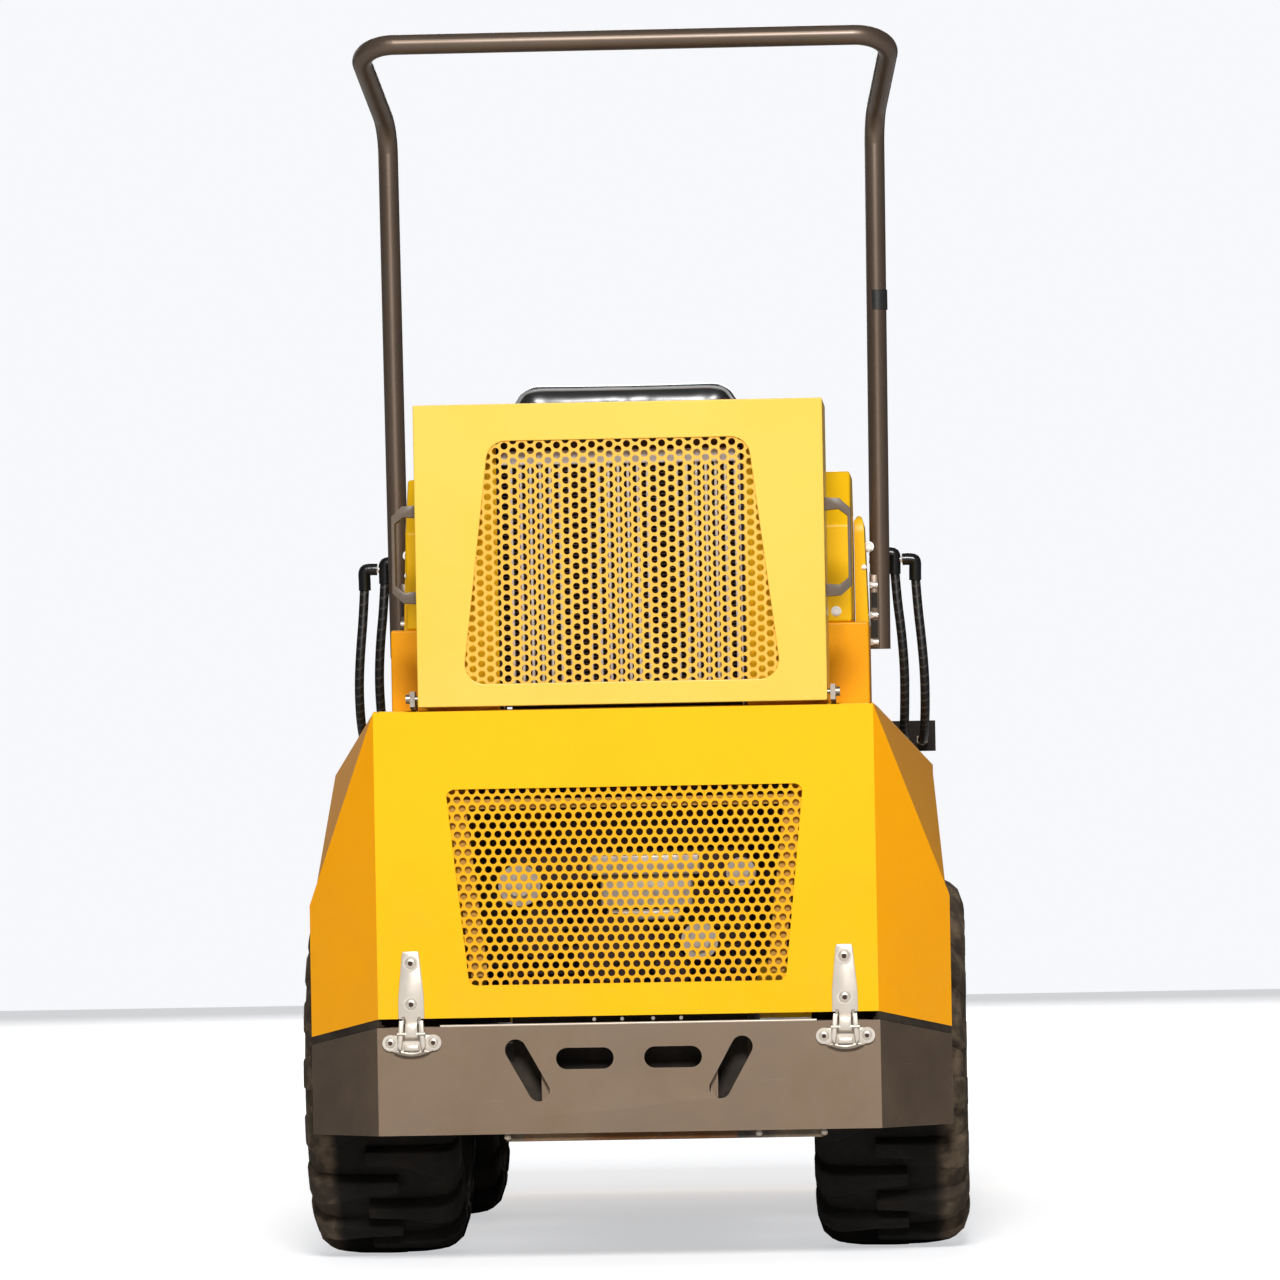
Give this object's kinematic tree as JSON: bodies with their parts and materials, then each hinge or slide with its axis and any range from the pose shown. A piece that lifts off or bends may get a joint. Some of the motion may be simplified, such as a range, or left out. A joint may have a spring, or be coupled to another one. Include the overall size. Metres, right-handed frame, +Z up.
{
  "type": "mini wheel loader",
  "caption": "Open-station articulated mini wheel loader with a bent-tube roll bar, rear engine door, cooler cover and front bucket.",
  "frame": {"origin": "on the ground, at the middle of the machine's footprint box", "axes": "+X to the machine's right, +Y forward to the bucket, +Z up"},
  "size_m": [1.096, 2.5293, 2.04],
  "materials": {
    "yellow_paint": "gloss",
    "bronze_paint": "satin",
    "steel": "satin",
    "stainless": "polished",
    "rod_chrome": "polished",
    "dark_iron": "matte",
    "cooler_metal": "satin",
    "black_vinyl": "satin",
    "black_plastic": "matte",
    "hose_rubber": "matte",
    "tyre_rubber": "matte",
    "rim_paint": "satin"
  },
  "bodies": {
    "rear": {"rear_frame": "yellow_paint", "pivot_pin": "steel", "rear_bumper": "bronze_paint", "rear_axle": "dark_iron", "engine": "dark_iron", "rear_fenders": "yellow_paint", "engine_deck": "yellow_paint", "side_tanks": "yellow_paint", "side_consoles": "yellow_paint", "rops_mounts": "yellow_paint", "oil_cooler": "cooler_metal", "cooler_baffles": "yellow_paint", "rops": "bronze_paint", "seat_base": "bronze_paint", "seat_cushion": "black_vinyl", "seat_backrest": "black_vinyl", "floor_plate": "bronze_paint", "steering_column": "black_plastic", "steering_wheel": "black_plastic", "control_levers": "black_plastic", "hinge_plates": "stainless", "cover_brackets": "stainless", "hose_right_inner": "hose_rubber", "hose_right_outer": "hose_rubber", "hose_left_inner": "hose_rubber", "hose_left_outer": "hose_rubber", "hose_fittings": "steel"},
    "door": {"engine_door": "yellow_paint", "door_grille": "yellow_paint", "hinge_straps": "stainless"},
    "cover": {"cooler_cover": "yellow_paint", "cooler_grille": "yellow_paint", "cover_handles": "bronze_paint"},
    "front": {"front_frame": "yellow_paint", "boom_tower": "yellow_paint", "tower_pins": "steel", "front_axle": "dark_iron"},
    "boom": {"boom": "yellow_paint", "boom_pins": "steel"},
    "lift_barrel": {"lift_barrel": "yellow_paint"},
    "lift_rod": {"lift_rod": "rod_chrome"},
    "tilt_barrel": {"tilt_barrel": "yellow_paint"},
    "tilt_rod": {"tilt_rod": "rod_chrome"},
    "steer_barrel": {"steer_barrel": "dark_iron"},
    "steer_rod": {"steer_rod": "rod_chrome"},
    "bucket": {"bucket": "yellow_paint", "cutting_edge": "steel"},
    "wheel_rear_left": {"tyre_rear_left": "tyre_rubber", "rim_rear_left": "rim_paint"},
    "wheel_rear_right": {"tyre_rear_right": "tyre_rubber", "rim_rear_right": "rim_paint"},
    "wheel_front_left": {"tyre_front_left": "tyre_rubber", "rim_front_left": "rim_paint"},
    "wheel_front_right": {"tyre_front_right": "tyre_rubber", "rim_front_right": "rim_paint"}
  },
  "joints": [
    {"name": "articulation", "type": "hinge", "parent": "rear", "child": "front", "pos_m": [0, -0.22565, 0.32], "axis": [0, 0, 1], "range_deg": [-40, 40]},
    {"name": "boom_lift", "type": "hinge", "parent": "front", "child": "boom", "pos_m": [0, 0.03435, 1], "axis": [1, 0, 0], "range_deg": [-8, 72]},
    {"name": "bucket_tilt", "type": "hinge", "parent": "boom", "child": "bucket", "pos_m": [0, 0.81465, 0.29741], "axis": [-1, 0, 0], "range_deg": [-22, 80]},
    {"name": "lift_swing", "type": "hinge", "parent": "front", "child": "lift_barrel", "pos_m": [0, -0.11565, 0.44], "axis": [1, 0, 0], "range_deg": [-1.53, 13.38]},
    {"name": "lift_stroke", "type": "slide", "parent": "lift_barrel", "child": "lift_rod", "axis": [0, 0.6924, 0.7215], "range_m": [-0.03286, 0.29494]},
    {"name": "tilt_swing", "type": "hinge", "parent": "boom", "child": "tilt_barrel", "pos_m": [0, 0.4249, 0.77618], "axis": [-1, 0, 0], "range_deg": [-0.091, 0.061]},
    {"name": "tilt_stroke", "type": "slide", "parent": "tilt_barrel", "child": "tilt_rod", "axis": [0, 0.7644, -0.6448], "range_m": [-0.05313, 0.19294]},
    {"name": "steer_swing", "type": "hinge", "parent": "rear", "child": "steer_barrel", "pos_m": [0.132, -0.65565, 0.33], "axis": [0, 0, 1], "range_deg": [-0.59, 0.59]},
    {"name": "steer_stroke", "type": "slide", "parent": "steer_barrel", "child": "steer_rod", "axis": [0.0418, 0.9991, 0], "range_m": [-0.09642, 0.09642]},
    {"name": "door_open", "type": "hinge", "parent": "rear", "child": "door", "pos_m": [0, -1.25665, 0.379], "axis": [1, 0, 0], "range_deg": [0, 90]},
    {"name": "cover_open", "type": "hinge", "parent": "rear", "child": "cover", "pos_m": [0, -1.23165, 0.919], "axis": [1, 0, 0], "range_deg": [0, 50]},
    {"name": "wheel_rear_left_roll", "type": "hinge", "parent": "rear", "child": "wheel_rear_left", "pos_m": [-0.417, -0.77565, 0.3], "axis": [-1, 0, 0], "continuous": true},
    {"name": "wheel_rear_right_roll", "type": "hinge", "parent": "rear", "child": "wheel_rear_right", "pos_m": [0.417, -0.77565, 0.3], "axis": [-1, 0, 0], "continuous": true},
    {"name": "wheel_front_left_roll", "type": "hinge", "parent": "front", "child": "wheel_front_left", "pos_m": [-0.417, 0.32435, 0.3], "axis": [-1, 0, 0], "continuous": true},
    {"name": "wheel_front_right_roll", "type": "hinge", "parent": "front", "child": "wheel_front_right", "pos_m": [0.417, 0.32435, 0.3], "axis": [-1, 0, 0], "continuous": true}
  ],
  "couplings": [
    {"joint": "lift_swing", "follows": "boom_lift", "ratio": 0.18515},
    {"joint": "lift_stroke", "follows": "boom_lift", "m_per_rad": 0.23463},
    {"joint": "tilt_swing", "follows": "bucket_tilt", "ratio": -0.00051},
    {"joint": "tilt_stroke", "follows": "bucket_tilt", "m_per_rad": 0.13811},
    {"joint": "steer_swing", "follows": "articulation", "ratio": -0.01342},
    {"joint": "steer_stroke", "follows": "articulation", "m_per_rad": 0.13797}
  ]
}
